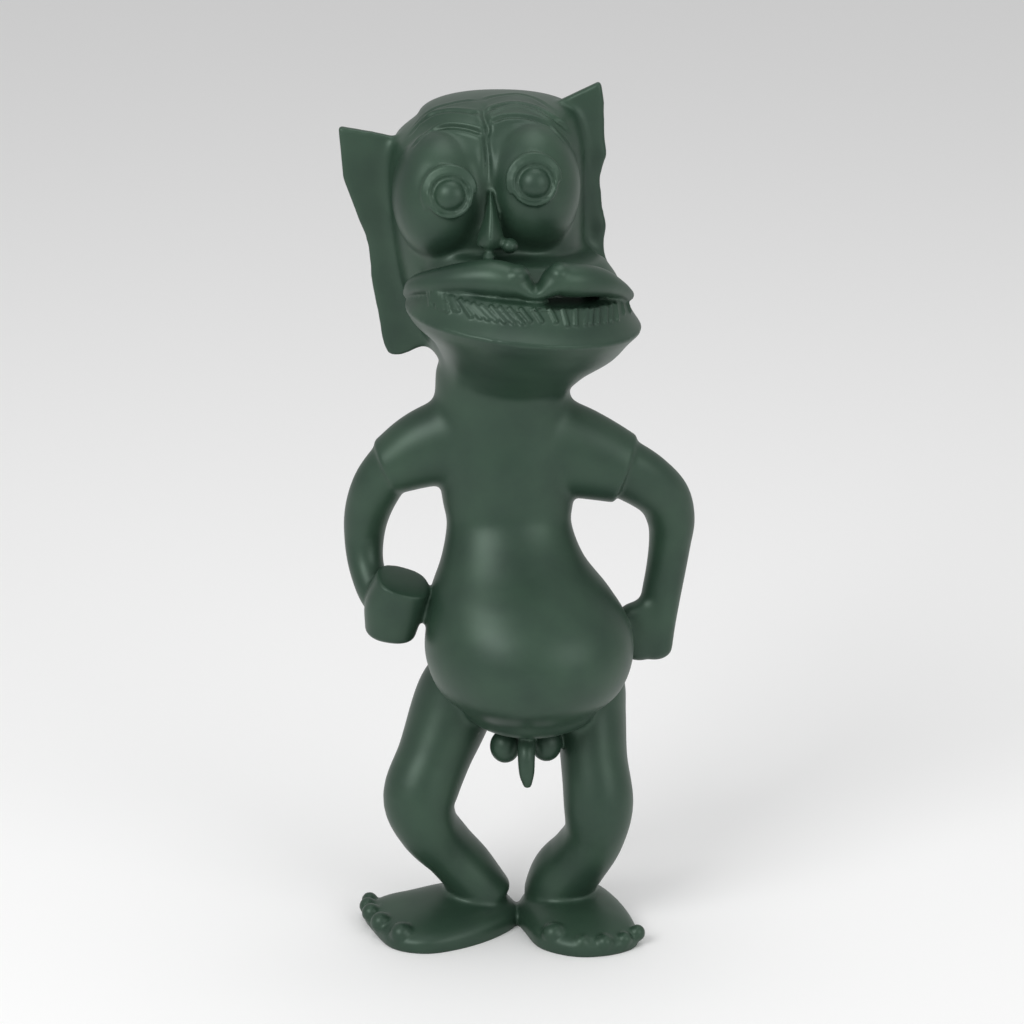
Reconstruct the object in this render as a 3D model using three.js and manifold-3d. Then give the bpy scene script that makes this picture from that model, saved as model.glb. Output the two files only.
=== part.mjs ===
// Ancestor figure: a standing figure with a monkey-like face, a pot belly and bent legs, cast in one piece.
// Millimetres, +Z up, the face towards -Y. It stands on its own two feet, which touch at the heels.
// Left and right are the viewer's, seen from the front.
import * as THREE from "three";
import { mergeVertices } from "three/addons/utils/BufferGeometryUtils.js";
import Module from "manifold-3d";

const wasm = await Module();
wasm.setup();

// The sizes are set out about the body's upright axis, and the whole figure is then moved by this much,
// so that the middle of its box stands over the origin.
const BOX_SHIFT = { x: -1.6, y: 11, z: 0 };

// Driving dimensions. A station of a lofted form is [x, y, z, half width, half depth].
const TORSO = [
  [-5, 2.5, 202, 22.5, 19], // throat
  [-4.2, 2, 190, 23.3, 18],
  [-3.4, 1, 179, 24.4, 17], // collar
  [-3, 0, 169, 24, 17],
  [-2.4, 0, 155, 22.6, 16.5], // waist
  [-2, -2, 147, 21.6, 17],
  [-0.7, -6, 136, 24.8, 21],
  [1.8, -10, 125.5, 31, 27],
  [4.4, -13, 115, 35, 31.5], // belly
  [5, -14, 104, 36, 33],
  [5.2, -13, 92, 32, 30],
  [5.3, -11, 83, 23, 22],
];
const PELVIS = { centre: [3, 3, 87], radii: [32, 17, 16] };
const GROIN = { centre: [4, -6, 80], radii: [17, 9, 9] };

const LEFT_LEG = [
  [-15, 3, 97, 9, 11], // hip
  [-19, 3, 87, 13.6, 15],
  [-22.6, 1, 76, 14.4, 15.5],
  [-28.4, -5, 62, 13, 13.8],
  [-33.4, -11, 49, 13, 12.6], // knee
  [-30.8, -11, 38, 11, 12],
  [-23.6, -7, 27.5, 9.4, 12],
  [-16.6, -5, 18, 9.8, 12.5],
  [-11.5, -5, 8, 11.4, 12], // ankle
];
const RIGHT_LEG = [
  [21, 3, 97, 9, 11],
  [25.2, 3, 87, 13.2, 15],
  [26.6, 1, 76, 12.6, 15.5],
  [27.8, -6, 61.5, 11.8, 13.8],
  [29.4, -12, 47, 12.3, 12.6],
  [28, -10, 34, 10.8, 12],
  [22.8, -6, 23.5, 10.8, 13],
  [17.4, -3, 15, 12, 14],
  [15.6, -2, 7, 12.8, 14],
];

// A foot is a rounded slab with a flat sole. Its outline is [x, y] points, anticlockwise from above,
// and it is lower towards the toes. Its toenails are small domes.
const FOOT = { ankleHigh: 13, toeHigh: 7, long: 46, edgeHigh: 2, squareness: 2.7 };
const LEFT_FOOT = {
  outline: [[-54, -6], [-50.8, -17], [-43.6, -31.8], [-32, -36.6], [-20, -33], [-8, -24.4], [0.4, -13],
    [0, -2], [-8, 9], [-24, 9.4], [-40, 4], [-49, 1]],
  ankle: [-14, -4],
};
const RIGHT_FOOT = {
  outline: [[0.6, -7], [3.6, -19], [9, -32], [21, -39], [34, -37.6], [43, -30], [42, -17], [37, -2],
    [29.4, 10], [17, 14.6], [5, 7]],
  ankle: [17, -2],
};
// A toe is [x, y, z, radius].
const LEFT_TOES = [
  [-39.6, -30, 5, 4.2],
  [-47.2, -20.6, 5, 3.8],
  [-51, -12.4, 5, 3.4],
  [-52.4, -6.2, 4.8, 3.1],
  [-52, -0.8, 4.6, 2.9],
];
const RIGHT_TOES = [
  [13.6, -31, 5.4, 4.2],
  [23.4, -35.6, 4, 3.2],
  [31.2, -35.6, 4, 3.4],
  [38.2, -32.6, 4, 2.8],
  [42.8, -28, 4.4, 3],
];

// A sleeve is a cape-like shoulder that ends in a square edge, and the arm comes out of it.
const LEFT_SLEEVE = [
  [-6, 1, 177, 19, 14],
  [-27, 0.5, 174.6, 15, 12],
  [-44.4, 0, 166.6, 10, 10],
];
const RIGHT_SLEEVE = [
  [0, 1, 176, 19, 14],
  [19, 0.5, 172.6, 17, 12],
  [38, 0, 166, 12.4, 10.4],
];
const LEFT_ARM = [
  [-40.5, 0, 170, 8.8, 8.6],
  [-47, 1.5, 160.4, 8.8, 8.4],
  [-51, 4, 150, 8, 8],
  [-52.4, 5, 140, 7, 7.4],
  [-51.8, 2, 131, 6.2, 6.6],
  [-48.8, -4, 123.5, 6, 6.2],
  [-45, -9, 119.5, 6, 6],
];
const RIGHT_ARM = [
  [33, 0, 169, 11, 9],
  [44, 3, 161.6, 10.6, 8.6],
  [51.4, 7, 154, 9.4, 8.2],
  [54.4, 9.5, 145, 8.4, 7.8],
  [54.2, 10.5, 136, 7.4, 7.4],
  [52.8, 10, 125.5, 7, 7],
  [51, 8.5, 116, 7, 6.6],
  [49.2, 6.5, 107, 7.2, 6],
  [48.2, 5, 99.5, 7.2, 5],
];
const RIGHT_PALM = [
  [43, 5.5, 112, 7, 5],
  [43, 4.5, 105, 9, 5.4],
  [43, 4, 99.5, 8, 5],
];
const FIST = [
  [-43, -10, 111.8, 9, 8.2],
  [-41.4, -12, 121, 10.4, 9.4],
  [-38.4, -14.4, 130, 9.4, 9],
];
const FIST_HOLLOW = { radius: 6, deep: 2.6 };
const FINGER_GROOVES = { heights: [0.36, 0.68], radius: 0.9 };
const FIST_BRIDGE = { from: [-36, -11, 120], to: [-26, -11, 119], radius: 5.4 };

const HEAD = [
  [-5, 5, 206, 22, 20],
  [-7, 5, 222, 28, 25],
  [-8.5, 5, 240, 31.4, 29],
  [-9.5, 5, 262, 32.6, 31],
  [-9.2, 6, 279, 32.2, 29],
  [-5.6, 7, 288, 27, 24],
];
const CROWN = 7.6;
const HEAD_SQUARENESS = 2.3;
const LEFT_EYE = { dome: [-24.6, -15, 265.4], ring: [-21.2, -32.8, 270], facing: [-0.1, -0.96, 0.22] };
const RIGHT_EYE = { dome: [5, -14.6, 268.6], ring: [6.4, -31.8, 273.8], facing: [0.1, -0.96, 0.24] };
const EYE = { domeRadii: [16, 18.4, 21.4], ringRadius: 6.5, ringThick: 1.1, pupil: 4.6, pupilProud: 3.2 };
const NOSE = [
  [-8.8, -18, 284, 2, 7],
  [-8.6, -27, 269, 1.8, 5],
  [-8.2, -33.4, 259, 4, 4],
  [-8.4, -34, 256, 4.4, 4],
];
const WRINKLES = { count: 3, first: 2.4, step: 3.2, thick: 1.3, sweep: 116 };

// The jaw is a bowl whose edge is the lower lip, lower on the right by this slope.
const JAW_SLOPE = 0.1;
const JAW = [
  [-4.6, 2, 196, 22.4, 18.5],
  [0, -3, 204, 24.6, 23.6],
  [3, -11, 213, 30.8, 31],
  [2.2, -17, 220.6, 36.4, 36],
  [2.8, -19.6, 225.8, 39.6, 38.4],
  [2.6, -18.4, 229.4, 37.4, 35],
  [2.4, -17.6, 237, 34, 31.4],
];
const MUZZLE = [
  [2, -14, 233, 34, 28],
  [2, -14, 240, 34, 28.6],
  [0, -12, 246, 30, 27],
];
const UPPER_LIP_LEFT = [
  [-34.6, -19, 236.5, 2.4, 3],
  [-29, -31, 240.5, 5, 4.6],
  [-19, -38.4, 243.5, 6, 5.4],
  [-7, -42.6, 244.6, 6, 5.4],
  [1.8, -44.6, 244.6, 5, 4.8],
];
const UPPER_LIP_RIGHT = [
  [12, -44.6, 244.4, 4.4, 4.6],
  [18.5, -42.6, 243.8, 5.6, 5.2],
  [28, -34.6, 242, 5.4, 5],
  [36, -20, 235.4, 2.4, 3],
];
const PHILTRUM = { centre: [7.2, -42, 241], radii: [8, 6, 4] };
const TEETH = { count: 24, wide: 1.9, tall: 5.4, deep: 3, from: 198, to: 342, radiusX: 36.2, radiusY: 34 };
const TEETH_CENTRE = [2.4, -18, 233.4];
const SLIT = { radiusX: 33, radiusY: 31.6, height: 238.4, thick: 1.3, deep: 9, from: 204, to: 338 };

// An ear is a flat flap beside the head, from a pointed tip down to a lobe. Its outline is [x, z] points.
const EAR_THICK = 4;
const LEFT_EAR = {
  outline: [[-59, 285.6], [-57.6, 268], [-51.4, 250], [-49.4, 238], [-46.4, 221], [-44.4, 210], [-41, 206.6],
    [-33, 209], [-26, 216], [-26, 276], [-42, 282.6]],
  depth: 3,
};
const RIGHT_EAR = {
  outline: [[28.6, 300.2], [30.6, 288], [30.8, 276], [29.6, 266], [31.2, 251], [31, 242], [34, 234],
    [37, 229], [36, 222], [14, 222], [8, 262], [14.4, 293.4]],
  depth: 7,
};

const GENITALS = {
  stem: [[4.4, -14, 76, 3, 3], [4, -22, 70, 3.1, 3], [4.1, -24, 63, 2.7, 2.6], [4.3, -24, 59.5, 1.8, 1.8]],
  left: { centre: [-3.4, -12, 68.4], radii: [5.4, 5.4, 6] },
  right: { centre: [11, -12, 69], radii: [5.4, 5.4, 6] },
};

const FLOOR_BLOCK = 400;

const vector = ([x, y, z]) => new THREE.Vector3(x, y, z);

/** Turns a closed geometry into a solid that can be joined and cut. */
function solid(geometry) {
  const bare = geometry.clone();
  bare.deleteAttribute("normal");
  bare.deleteAttribute("uv");
  const merged = mergeVertices(bare, 1e-4);
  const mesh = new wasm.Mesh({
    numProp: 3,
    vertProperties: new Float32Array(merged.attributes.position.array),
    triVerts: new Uint32Array(merged.index.array),
  });
  return new wasm.Manifold(mesh);
}

const joined = (solids) => solids.reduce((whole, piece) => whole.add(piece));

/** A power of a sine or cosine that squares up a round section when `squareness` is over 2. */
const squared = (value, squareness) => Math.sign(value) * Math.abs(value) ** (2 / squareness);

/**
 * A closed form lofted through stations. A sphere's rows are laid along the spine: its poles become
 * the two rounded ends, `startCap` and `endCap` long.
 */
function loft(stations, options = {}) {
  const { sides = 12, rows = 8, startCap = 4, endCap = 4, squareness = 2, across = [1, 0, 0] } = options;
  const { level, capRows = 2 } = options;
  const spine = new THREE.CatmullRomCurve3(stations.map(vector), false, "catmullrom", 0.5);
  const sizes = new THREE.CatmullRomCurve3(
    stations.map(([, , , wide, deep]) => new THREE.Vector3(wide, deep, 0)), false, "catmullrom", 0.5);
  const total = rows + 2 * capRows;
  const travel = vector(stations[stations.length - 1]).sub(vector(stations[0]));
  const upright = level && vector(level).normalize().multiplyScalar(Math.sign(vector(level).dot(travel)));
  const geometry = new THREE.SphereGeometry(1, sides, total);
  const { position, uv } = geometry.attributes;
  for (let index = 0; index < position.count; index += 1) {
    const row = Math.round((1 - uv.getY(index)) * total);
    const side = Math.round(uv.getX(index) * sides - (row === 0 || row === total ? 0.5 : 0)) % sides;
    const angle = (side / sides) * Math.PI * 2;
    const along = THREE.MathUtils.clamp((row - capRows) / rows, 0, 1);
    const pastStart = Math.max(0, capRows - row) / capRows;
    const pastEnd = Math.max(0, row - capRows - rows) / capRows;
    const capAngle = (Math.max(pastStart, pastEnd) * Math.PI) / 2;
    const tangent = upright || spine.getTangent(along);
    const widthAxis = vector(across).addScaledVector(tangent, -tangent.dot(vector(across))).normalize();
    const depthAxis = new THREE.Vector3().crossVectors(tangent, widthAxis);
    const size = sizes.getPoint(along);
    const point = spine.getPoint(along)
      .addScaledVector(widthAxis, -squared(Math.cos(angle), squareness) * size.x * Math.cos(capAngle))
      .addScaledVector(depthAxis, squared(Math.sin(angle), squareness) * size.y * Math.cos(capAngle))
      .addScaledVector(tangent, Math.sin(capAngle) * (pastEnd > 0 ? endCap : -startCap));
    position.setXYZ(index, point.x, point.y, point.z);
  }
  return solid(geometry);
}

/** An ellipsoid. */
function blob({ centre, radii }, sides = 16, rows = 10) {
  const geometry = new THREE.SphereGeometry(1, sides, rows);
  geometry.scale(...radii).translate(...centre);
  return solid(geometry);
}

/** A round rod between two points, with domed ends. */
function rod({ from, to, radius }) {
  return loft([[...from, radius, radius], [...to, radius, radius]], {
    sides: 8, rows: 1, startCap: radius, endCap: radius, across: [0, 0, 1],
  });
}

/** Places a geometry that was made facing +Z so that it faces along `facing`, centred on `centre`. */
function faced(geometry, centre, facing) {
  const direction = vector(facing).normalize();
  const turn = new THREE.Quaternion().setFromUnitVectors(new THREE.Vector3(0, 0, 1), direction);
  return geometry.applyQuaternion(turn).translate(...centre);
}

/** A bulging eye: a large dome, a raised ring on it and a round pupil inside the ring. */
function eye({ dome, ring, facing }) {
  const ringGeometry = new THREE.TorusGeometry(EYE.ringRadius, EYE.ringThick, 4, 13);
  const pupilGeometry = new THREE.SphereGeometry(1, 8, 5).scale(EYE.pupil, EYE.pupil, EYE.pupilProud);
  return joined([
    blob({ centre: dome, radii: EYE.domeRadii }, 16, 8),
    solid(faced(ringGeometry, ring, facing)),
    solid(faced(pupilGeometry, ring, facing)),
  ]);
}

/** The front of the head at a place seen from the front, from the head's own stations. */
function headFront(x, z) {
  const spine = new THREE.CatmullRomCurve3(HEAD.map(vector), false, "catmullrom", 0.5);
  const sizes = new THREE.CatmullRomCurve3(
    HEAD.map(([, , , wide, deep]) => new THREE.Vector3(wide, deep, 0)), false, "catmullrom", 0.5);
  let low = 0;
  let high = 1;
  for (let step = 0; step < 24; step += 1) {
    const middle = (low + high) / 2;
    if (spine.getPoint(middle).z < z) {
      low = middle;
    } else {
      high = middle;
    }
  }
  const centre = spine.getPoint(low);
  const size = sizes.getPoint(low);
  const sideways = Math.min(0.98, Math.abs(x - centre.x) / size.x);
  return centre.y - size.y * (1 - sideways ** HEAD_SQUARENESS) ** (1 / HEAD_SQUARENESS);
}

/** The brow wrinkles: arched folds, one above the other, over each eye. */
function wrinkles({ dome }) {
  const folds = [];
  for (let fold = 0; fold < WRINKLES.count; fold += 1) {
    const rise = WRINKLES.first + fold * WRINKLES.step;
    const points = [];
    const steps = 7;
    for (let step = 0; step <= steps; step += 1) {
      const angle = THREE.MathUtils.degToRad(90 + WRINKLES.sweep * (step / steps - 0.5));
      const x = dome[0] + (EYE.domeRadii[0] + rise * 0.3) * Math.cos(angle);
      const z = dome[2] + (EYE.domeRadii[2] + rise - 3) * Math.sin(angle);
      points.push([x, headFront(x, z) + 0.5, z, WRINKLES.thick, WRINKLES.thick]);
    }
    const shape = { sides: 4, rows: steps, startCap: 1, endCap: 1, capRows: 1, across: [0, 0, 1] };
    folds.push(loft(points, shape));
  }
  return joined(folds);
}

/** A flat ear flap extruded from its outline, its tip left sharp. */
function ear({ outline, depth }) {
  const [tip, ...rest] = outline.map(([x, z]) => new THREE.Vector2(x, z));
  const shape = new THREE.Shape();
  shape.moveTo(tip.x, tip.y);
  shape.splineThru(rest);
  shape.closePath();
  const geometry = new THREE.ExtrudeGeometry(shape, {
    depth: EAR_THICK - 2,
    bevelThickness: 1,
    bevelSize: 1,
    bevelOffset: -1,
    bevelSegments: 1,
    curveSegments: 1,
  });
  geometry.rotateX(Math.PI / 2).translate(0, depth + EAR_THICK / 2, 0);
  return solid(geometry);
}

/** A point on the arc that the teeth and the mouth's slit follow, seen from above. */
function mouthPoint(degrees, radiusX, radiusY, height) {
  const angle = THREE.MathUtils.degToRad(degrees);
  const x = TEETH_CENTRE[0] + radiusX * Math.cos(angle);
  return [x, TEETH_CENTRE[1] + radiusY * Math.sin(angle), height - JAW_SLOPE * (x - TEETH_CENTRE[0])];
}

/** The row of small blocks along the lower lip. */
function teeth() {
  const row = [];
  for (let tooth = 0; tooth < TEETH.count; tooth += 1) {
    const degrees = TEETH.from + ((TEETH.to - TEETH.from) * tooth) / (TEETH.count - 1);
    const geometry = new THREE.BoxGeometry(TEETH.deep, TEETH.wide, TEETH.tall);
    geometry.rotateY(-0.5).rotateZ(THREE.MathUtils.degToRad(degrees));
    geometry.translate(...mouthPoint(degrees, TEETH.radiusX, TEETH.radiusY, TEETH_CENTRE[2]));
    row.push(solid(geometry));
  }
  return joined(row);
}

/** The thin open slit between the upper lip and the teeth. */
function slit() {
  const points = [];
  const steps = 8;
  for (let step = 0; step <= steps; step += 1) {
    const degrees = SLIT.from + ((SLIT.to - SLIT.from) * step) / steps;
    points.push([...mouthPoint(degrees, SLIT.radiusX, SLIT.radiusY, SLIT.height), SLIT.thick, SLIT.deep]);
  }
  return loft(points, { sides: 6, rows: 10, startCap: 2, endCap: 2, capRows: 1, across: [0, 0, 1] });
}

function head() {
  const jawLevel = [JAW_SLOPE, 0, 1];
  const skull = { sides: 20, rows: 7, startCap: 3, endCap: CROWN, squareness: HEAD_SQUARENESS };
  const faceForms = [
    loft(HEAD, { ...skull, level: [0, 0, 1] }),
    loft(JAW, { sides: 20, rows: 8, startCap: 3, endCap: 2, level: jawLevel }),
    loft(MUZZLE, { sides: 16, rows: 3, startCap: 2, endCap: 3, level: jawLevel }),
    loft(UPPER_LIP_LEFT, { sides: 8, rows: 7, startCap: 2, endCap: 3, across: [0, 1, 0] }),
    loft(UPPER_LIP_RIGHT, { sides: 8, rows: 6, startCap: 3, endCap: 2, across: [0, 1, 0] }),
    blob(PHILTRUM, 8, 6),
    loft(NOSE, { sides: 8, rows: 4, startCap: 2, endCap: 3, across: [1, 0, 0] }),
    eye(LEFT_EYE),
    eye(RIGHT_EYE),
    wrinkles(LEFT_EYE),
    wrinkles(RIGHT_EYE),
    ear(LEFT_EAR),
    ear(RIGHT_EAR),
    teeth(),
  ];
  return joined(faceForms).subtract(slit());
}

function arms() {
  const upright = { across: [0, 0, 1] };
  return joined([
    loft(LEFT_SLEEVE, { sides: 12, rows: 3, startCap: 4, endCap: 0.4, ...upright }),
    loft(RIGHT_SLEEVE, { sides: 12, rows: 3, startCap: 4, endCap: 0.4, ...upright }),
    loft(LEFT_ARM, { sides: 10, rows: 9, startCap: 4, endCap: 4, across: [1, 0, 0] }),
    loft(RIGHT_ARM, { sides: 10, rows: 10, startCap: 4, endCap: 5, across: [1, 0, 0] }),
    loft(RIGHT_PALM, { sides: 10, rows: 3, startCap: 4, endCap: 5, across: [1, 0, 0] }),
    rod(FIST_BRIDGE),
    loft(FIST, { sides: 12, rows: 4, startCap: 4, endCap: 0.8, across: [1, 0, 0], squareness: 2.5 }),
  ]);
}

/** The shallow hollow in the top of the fist and the lines between its fingers. */
function fistCuts() {
  const top = FIST[FIST.length - 1];
  const axis = vector(top).sub(vector(FIST[0])).normalize();
  const hollowCentre = vector(top).addScaledVector(axis, 1);
  const { radius, deep } = FIST_HOLLOW;
  const hollow = new THREE.SphereGeometry(1, 10, 6).scale(radius, radius, deep);
  const cuts = [solid(faced(hollow, hollowCentre.toArray(), axis.toArray()))];
  const spine = new THREE.CatmullRomCurve3(FIST.map(vector), false, "catmullrom", 0.5);
  for (const height of FINGER_GROOVES.heights) {
    const centre = spine.getPoint(height);
    const groove = new THREE.TorusGeometry(10, FINGER_GROOVES.radius, 4, 11);
    cuts.push(solid(faced(groove, centre.toArray(), axis.toArray())));
  }
  return joined(cuts);
}

/** A low rounded pad over an outline, flat below once the floor is cut. */
function pad({ outline, ankle }, sides = 16, rows = 7) {
  const corners = outline.map(([x, y]) => new THREE.Vector3(x, y, 0));
  const edge = new THREE.CatmullRomCurve3(corners, true, "catmullrom", 0.5);
  const middle = corners.reduce((sum, corner) => sum.add(corner), new THREE.Vector3());
  middle.divideScalar(corners.length);
  const geometry = new THREE.SphereGeometry(1, sides, rows);
  const { position, uv } = geometry.attributes;
  for (let index = 0; index < position.count; index += 1) {
    const polar = (1 - uv.getY(index)) * Math.PI;
    const side = Math.round(uv.getX(index) * sides) % sides;
    const isPole = Math.abs(position.getY(index)) > 0.999;
    const spread = isPole ? 0 : squared(Math.sin(polar), FOOT.squareness);
    const point = middle.clone().lerp(edge.getPoint(side / sides), spread);
    const away = Math.hypot(point.x - ankle[0], point.y - ankle[1]) / FOOT.long;
    const high = THREE.MathUtils.lerp(FOOT.ankleHigh, FOOT.toeHigh, Math.min(1, away)) - FOOT.edgeHigh;
    point.z = FOOT.edgeHigh + high * squared(Math.cos(polar), FOOT.squareness);
    position.setXYZ(index, point.x, point.y, point.z);
  }
  return solid(geometry);
}

function foot(shape, toes) {
  const nails = toes.map(([x, y, z, radius]) => (
    blob({ centre: [x, y, z], radii: [radius, radius, radius] }, 6, 4)));
  return joined([pad(shape), ...nails]);
}

function legs() {
  const shape = { sides: 11, rows: 8, startCap: 8, endCap: 3, across: [1, 0, 0] };
  return joined([loft(LEFT_LEG, shape), loft(RIGHT_LEG, shape), blob(PELVIS, 12, 6), blob(GROIN, 8, 5)]);
}

function genitals() {
  return joined([
    loft(GENITALS.stem, { sides: 8, rows: 4, startCap: 2, endCap: 2 }),
    blob(GENITALS.left, 8, 6),
    blob(GENITALS.right, 8, 6),
  ]);
}

/** Everything below the floor is cut away, which leaves the flat soles. */
function belowFloor() {
  const block = new THREE.BoxGeometry(FLOOR_BLOCK, FLOOR_BLOCK, FLOOR_BLOCK);
  return solid(block.translate(0, 0, -FLOOR_BLOCK / 2));
}

function figure() {
  const torso = loft(TORSO, { sides: 22, rows: 13, startCap: 4, endCap: 9, level: [0, 0, 1] });
  const feet = joined([foot(LEFT_FOOT, LEFT_TOES), foot(RIGHT_FOOT, RIGHT_TOES)]);
  const whole = joined([torso, head(), arms(), legs(), feet, genitals()]);
  return whole.subtract(fistCuts()).subtract(belowFloor());
}

function geometryOf(shape) {
  const { vertProperties, triVerts } = shape.getMesh();
  const geometry = new THREE.BufferGeometry();
  geometry.setAttribute("position", new THREE.BufferAttribute(vertProperties, 3));
  geometry.setIndex(new THREE.BufferAttribute(triVerts, 1));
  geometry.computeVertexNormals();
  return geometry;
}

const patina = new THREE.MeshStandardMaterial({ color: 0x34493e, roughness: 0.45, metalness: 0.7 });
const body = new THREE.Mesh(geometryOf(figure()), patina);
body.name = "cast_figure";

const ancestorFigure = new THREE.Group();
ancestorFigure.add(body);
ancestorFigure.position.set(BOX_SHIFT.x, BOX_SHIFT.y, BOX_SHIFT.z);
export default ancestorFigure;
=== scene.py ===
"""The looks of a standing ancestor figure: one hollow bronze casting, modelled by hand in wax.

Lengths are in millimetres while the figure is shaped, about the body's own upright axis, and the
finished mesh is moved onto the CAD frame and turned into metres. Left and right are the viewer's.
"""

import logging
import math
from dataclasses import dataclass, field
from enum import Enum
from typing import Callable, Dict, List, Optional, Sequence, Tuple

import bmesh
import bpy
import numpy as np
from mathutils import Matrix, Vector
from mathutils.bvhtree import BVHTree


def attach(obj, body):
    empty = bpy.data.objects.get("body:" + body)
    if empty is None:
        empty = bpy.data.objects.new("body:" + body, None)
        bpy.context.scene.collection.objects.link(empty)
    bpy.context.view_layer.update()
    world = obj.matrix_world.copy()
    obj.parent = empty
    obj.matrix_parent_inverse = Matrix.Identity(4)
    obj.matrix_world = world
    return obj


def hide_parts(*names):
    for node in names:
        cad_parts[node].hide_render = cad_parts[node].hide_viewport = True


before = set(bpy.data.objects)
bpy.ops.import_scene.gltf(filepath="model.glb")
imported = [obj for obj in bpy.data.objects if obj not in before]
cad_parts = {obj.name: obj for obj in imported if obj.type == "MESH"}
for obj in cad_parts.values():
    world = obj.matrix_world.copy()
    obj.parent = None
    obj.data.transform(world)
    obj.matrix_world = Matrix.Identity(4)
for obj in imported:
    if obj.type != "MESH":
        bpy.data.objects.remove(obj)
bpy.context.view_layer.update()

logging.basicConfig(level=logging.INFO, format="%(relativeCreated)d ms %(message)s")
LOG = logging.getLogger("figure")

Station = Tuple[float, float, float, float, float]
Triple = Tuple[float, float, float]
Pixel = Tuple[float, float]

MM = 0.001
BOX_SHIFT = Vector((-1.6, 11.0, 0.0))


def spline(points: np.ndarray, at: np.ndarray, closed: bool = False) -> np.ndarray:
    """Samples a uniform Catmull-Rom curve.

    Args:
        points: The curve's points, one per row.
        at: Places along it, from 0 to 1.
        closed: Whether the last point leads back to the first.

    Returns:
        One row per place.
    """
    count = len(points)
    if closed:
        place = (np.asarray(at) % 1.0) * count
        base = np.floor(place).astype(int)
        rows = [points[(base + shift) % count] for shift in (-1, 0, 1, 2)]
    else:
        padded = np.vstack([2 * points[0] - points[1], points, 2 * points[-1] - points[-2]])
        place = np.clip(at, 0.0, 1.0) * (count - 1)
        base = np.minimum(np.floor(place).astype(int), count - 2)
        rows = [padded[base + shift] for shift in (0, 1, 2, 3)]
    f = (place - base)[:, None]
    before, start, end, after = rows
    v0, v1 = (end - before) / 2, (after - start) / 2
    return ((2 * start - 2 * end + v0 + v1) * f ** 3 + (-3 * start + 3 * end - 2 * v0 - v1) * f ** 2
            + v0 * f + start)


def squared(value: np.ndarray, squareness: float) -> np.ndarray:
    """Squares up a sine or cosine where `squareness` is over 2."""
    return np.sign(value) * np.abs(value) ** (2.0 / squareness)


def fade(distance: np.ndarray, inner: float, outer: float) -> np.ndarray:
    """Goes smoothly from 1 within `inner` to 0 beyond `outer`."""
    t = np.clip((outer - distance) / max(1e-9, outer - inner), 0.0, 1.0)
    return t * t * (3 - 2 * t)


@dataclass(frozen=True)
class Loft:
    """A closed form that runs through elliptical sections, with two rounded ends."""

    stations: Sequence[Station]
    start_cap: float = 4.0
    end_cap: float = 4.0
    across: Triple = (1.0, 0.0, 0.0)
    level: Optional[Triple] = None
    squareness: float = 2.0
    sides: int = 40
    rows: int = 56
    cap_share: float = 0.12

    def build(self, bm: bmesh.types.BMesh) -> None:
        """Adds the form to a bmesh: a sphere whose rows are laid along the spine."""
        made = bmesh.ops.create_uvsphere(bm, u_segments=self.sides, v_segments=self.rows, radius=1.0)
        verts = made["verts"]
        unit = np.array([v.co for v in verts])
        polar = np.arccos(np.clip(unit[:, 2], -1, 1)) / math.pi
        angle = np.arctan2(unit[:, 1], unit[:, 0])
        share = self.cap_share
        along = np.clip((polar - share) / (1 - 2 * share), 0, 1)
        past_start = np.clip((share - polar) / share, 0, 1)
        past_end = np.clip((polar - 1 + share) / share, 0, 1)
        cap = np.maximum(past_start, past_end) * math.pi / 2
        table = np.array(self.stations, dtype=float)
        centre = spline(table[:, :3], along)
        size = spline(table[:, 3:], along)
        tangent = self._tangent(table, along)
        across = np.array(self.across)
        width = across - tangent * (tangent @ across)[:, None]
        width /= np.linalg.norm(width, axis=1)[:, None]
        depth = np.cross(tangent, width)
        placed = (centre
                  + width * (squared(np.cos(angle), self.squareness) * size[:, 0] * np.cos(cap))[:, None]
                  + depth * (squared(np.sin(angle), self.squareness) * size[:, 1] * np.cos(cap))[:, None]
                  + tangent * (np.sin(cap) * np.where(past_end > 0, self.end_cap, -self.start_cap))[:, None])
        for vert, place in zip(verts, placed):
            vert.co = place

    def _tangent(self, table: np.ndarray, along: np.ndarray) -> np.ndarray:
        """The direction of travel at each place, or the level axis where one is given."""
        if self.level is not None:
            axis = np.array(self.level) / np.linalg.norm(self.level)
            axis = axis * math.copysign(1.0, float(axis @ (table[-1, :3] - table[0, :3])))
            return np.repeat(axis[None, :], len(along), axis=0)
        step = 1e-3
        ahead = spline(table[:, :3], np.minimum(along + step, 1.0))
        behind = spline(table[:, :3], np.maximum(along - step, 0.0))
        run = ahead - behind
        return run / np.linalg.norm(run, axis=1)[:, None]


@dataclass(frozen=True)
class Dome:
    """An ellipsoid, turned so that its own Z axis looks along `facing`."""

    centre: Triple
    radii: Triple
    facing: Triple = (0.0, 0.0, 1.0)
    detail: int = 36

    def build(self, bm: bmesh.types.BMesh) -> None:
        """Adds the ellipsoid to a bmesh."""
        turn = Vector((0, 0, 1)).rotation_difference(Vector(self.facing)).to_matrix().to_4x4()
        matrix = Matrix.Translation(self.centre) @ turn @ Matrix.Diagonal((*self.radii, 1.0))
        bmesh.ops.create_uvsphere(bm, u_segments=self.detail, v_segments=self.detail // 2,
                                  radius=1.0, matrix=matrix)


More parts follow.
